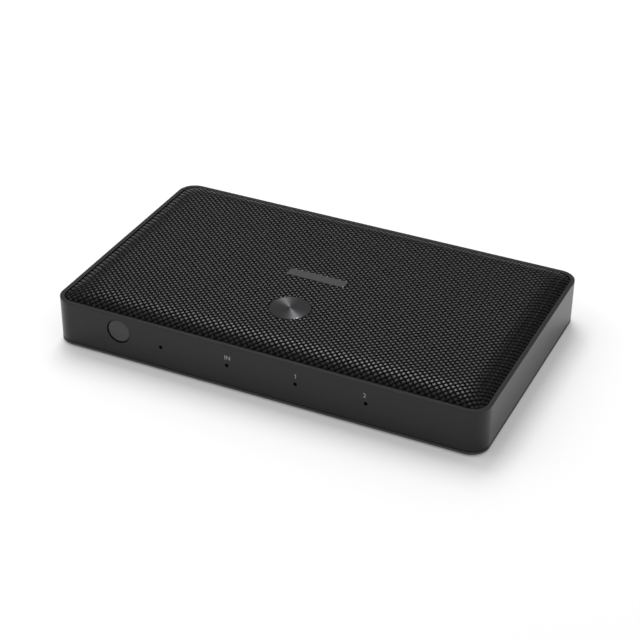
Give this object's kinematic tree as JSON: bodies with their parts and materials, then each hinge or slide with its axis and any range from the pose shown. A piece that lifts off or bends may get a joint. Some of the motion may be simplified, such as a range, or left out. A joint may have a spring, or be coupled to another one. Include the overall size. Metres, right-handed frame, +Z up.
{
  "type": "hdmi splitter",
  "caption": "Flat video signal splitter with a crowned woven cloth top, round push buttons on top and front, and video and power sockets in the back.",
  "frame": {"origin": "middle of the footprint, on the surface that the feet stand on", "axes": "+X along the front from left to right, +Y from front to back, +Z up"},
  "size_m": [0.15, 0.0908, 0.0194],
  "materials": {
    "frame_plastic": "moulded, fine matt grain",
    "cover_plastic": "moulded, fine matt grain",
    "panel_plastic": "moulded",
    "woven_cloth": "plain weave of round coated yarn, laid on the bias",
    "plate_metal": "dark anodised, satin",
    "foot_rubber": "moulded",
    "screw_steel": "black oxide",
    "board_laminate": "green solder mask",
    "shell_steel": "nickel plated sheet",
    "insulator_plastic": "moulded",
    "contact_gold": "gold plated",
    "pin_nickel": "nickel plated",
    "lamp_resin": "clear resin",
    "pipe_acrylic": "clear moulded acrylic",
    "spun_metal": "dark anodised, circular spun face",
    "switch_plastic": "moulded",
    "button_plastic": "moulded, matt",
    "chip_resin": "moulded epoxy",
    "pad_silicone": "soft silicone",
    "sink_metal": "black anodised",
    "can_metal": "drawn can",
    "coil_ferrite": "pressed ferrite",
    "capacitor_ceramic": "fired"
  },
  "bodies": {
    "housing": {"side_frame": "frame_plastic", "bottom_cover": "cover_plastic", "top_panel": "panel_plastic", "top_cloth": "woven_cloth", "nameplate": "plate_metal", "foot_front_left": "foot_rubber", "foot_back_left": "foot_rubber", "foot_front_right": "foot_rubber", "foot_back_right": "foot_rubber", "case_screws": "screw_steel", "board_screws": "screw_steel", "main_board": "board_laminate", "input_socket_shell": "shell_steel", "input_socket_insulator": "insulator_plastic", "input_socket_contacts": "contact_gold", "output_1_socket_shell": "shell_steel", "output_1_socket_insulator": "insulator_plastic", "output_1_socket_contacts": "contact_gold", "output_2_socket_shell": "shell_steel", "output_2_socket_insulator": "insulator_plastic", "output_2_socket_contacts": "contact_gold", "power_socket_body": "insulator_plastic", "power_socket_pin": "pin_nickel", "power_socket_spring": "pin_nickel", "lamp_power": "lamp_resin", "light_pipe_power": "pipe_acrylic", "lamp_input": "lamp_resin", "light_pipe_input": "pipe_acrylic", "lamp_output_1": "lamp_resin", "light_pipe_output_1": "pipe_acrylic", "lamp_output_2": "lamp_resin", "light_pipe_output_2": "pipe_acrylic", "select_switch_body": "switch_plastic", "power_switch_body": "switch_plastic", "splitter_chip": "chip_resin", "input_chip": "chip_resin", "control_chip": "chip_resin", "memory_chip": "chip_resin", "regulator": "chip_resin", "thermal_pad": "pad_silicone", "heat_sink": "sink_metal", "crystal": "can_metal", "filter_capacitors": "can_metal", "power_coil": "coil_ferrite", "ceramic_capacitors": "capacitor_ceramic"},
    "select_button": {"select_button_cap": "spun_metal", "select_button_plunger": "panel_plastic", "select_switch_peg": "switch_plastic"},
    "power_button": {"power_button_cap": "button_plastic", "power_switch_peg": "switch_plastic"}
  },
  "joints": [
    {"name": "select_press", "type": "slide", "parent": "housing", "child": "select_button", "axis": [0, 0, -1], "range_m": [0, 0.0006], "stiffness_N_per_m": 2500, "springref_m": -0.0003},
    {"name": "power_press", "type": "slide", "parent": "housing", "child": "power_button", "axis": [0, 1, 0], "range_m": [0, 0.0004], "stiffness_N_per_m": 2500, "springref_m": -0.0003}
  ]
}
